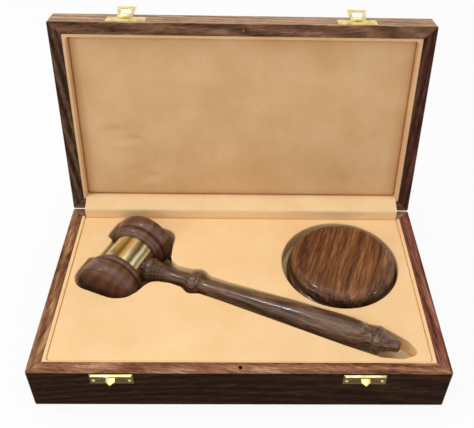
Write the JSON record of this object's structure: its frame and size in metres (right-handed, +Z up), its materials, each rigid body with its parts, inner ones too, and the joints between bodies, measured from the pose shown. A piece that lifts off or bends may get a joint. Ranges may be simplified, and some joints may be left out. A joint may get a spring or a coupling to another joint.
{
  "type": "ceremonial gavel in a presentation case",
  "caption": "Presentation gavel with a brass band and a round sound block, lying in the cloth-covered recesses of a hinged hardwood case with bail latches.",
  "frame": {"origin": "centre of the case's underside", "axes": "+X along the case to the right, -Y to the front where the latches are, +Z up"},
  "size_m": [0.32, 0.2366, 0.2279],
  "materials": {
    "case_wood": "dark brown hardwood with a flowing grain, satin varnish",
    "board_wood": "thin hardwood-faced board, satin varnish",
    "lining_cloth": "soft light tan suede cloth over card",
    "lid_cloth": "soft tan suede cloth over foam",
    "hardware_brass": "bright pale brass sheet",
    "band_brass": "polished brass sheet",
    "gavel_wood": "dark rosewood, polished",
    "block_wood": "streaked dark hardwood, polished",
    "felt": "thin dark felt"
  },
  "bodies": {
    "case": {"base_front_wall": "case_wood", "base_back_wall": "case_wood", "base_left_wall": "case_wood", "base_right_wall": "case_wood", "base_bottom_board": "board_wood", "base_front_lining": "lining_cloth", "base_left_lining": "lining_cloth", "base_right_lining": "lining_cloth", "insert_core": "lining_cloth", "insert_top": "lining_cloth", "head_well_cloth": "lining_cloth", "hinge_cover": "lining_cloth", "left_hinge_base_leaf": "hardware_brass", "right_hinge_base_leaf": "hardware_brass", "left_hinge_pin": "hardware_brass", "right_hinge_pin": "hardware_brass", "base_hinge_screws": "hardware_brass", "left_catch_plate": "hardware_brass", "right_catch_plate": "hardware_brass", "catch_plate_nails": "hardware_brass"},
    "lid": {"lid_front_wall": "case_wood", "lid_back_wall": "case_wood", "lid_left_wall": "case_wood", "lid_right_wall": "case_wood", "lid_top_board": "board_wood", "lid_locating_dowel": "case_wood", "lid_front_lining": "lining_cloth", "lid_back_lining": "lining_cloth", "lid_left_lining": "lining_cloth", "lid_right_lining": "lining_cloth", "lid_pad": "lid_cloth", "left_hinge_lid_leaf": "hardware_brass", "right_hinge_lid_leaf": "hardware_brass", "lid_hinge_screws": "hardware_brass", "left_latch_plate": "hardware_brass", "right_latch_plate": "hardware_brass", "latch_plate_nails": "hardware_brass"},
    "left_bail": {"left_latch_bail": "hardware_brass"},
    "right_bail": {"right_latch_bail": "hardware_brass"},
    "gavel": {"gavel_head": "gavel_wood", "gavel_band": "band_brass", "gavel_handle": "gavel_wood"},
    "block": {"sound_block": "block_wood", "sound_block_felt": "felt"}
  },
  "joints": [
    {"name": "lid_hinge", "type": "hinge", "parent": "case", "child": "lid", "pos_m": [0, 0.0911, 0.0422], "axis": [-1, 0, 0], "range_deg": [-98, 0], "deforming": ["lid_pad", "hinge_cover"]},
    {"name": "left_bail_pivot", "type": "hinge", "parent": "lid", "child": "left_bail", "pos_m": [-0.0964, 0.12149, 0.22535], "axis": [-1, 0, 0], "range_deg": [-163, 27]},
    {"name": "right_bail_pivot", "type": "hinge", "parent": "lid", "child": "right_bail", "pos_m": [0.0938, 0.12149, 0.22535], "axis": [-1, 0, 0], "range_deg": [-163, 27]},
    {"name": "gavel_lift", "type": "slide", "parent": "case", "child": "gavel", "axis": [0, 0, 1], "range_m": [0, 0.08]},
    {"name": "block_lift", "type": "slide", "parent": "case", "child": "block", "axis": [0, 0, 1], "range_m": [0, 0.06]}
  ]
}
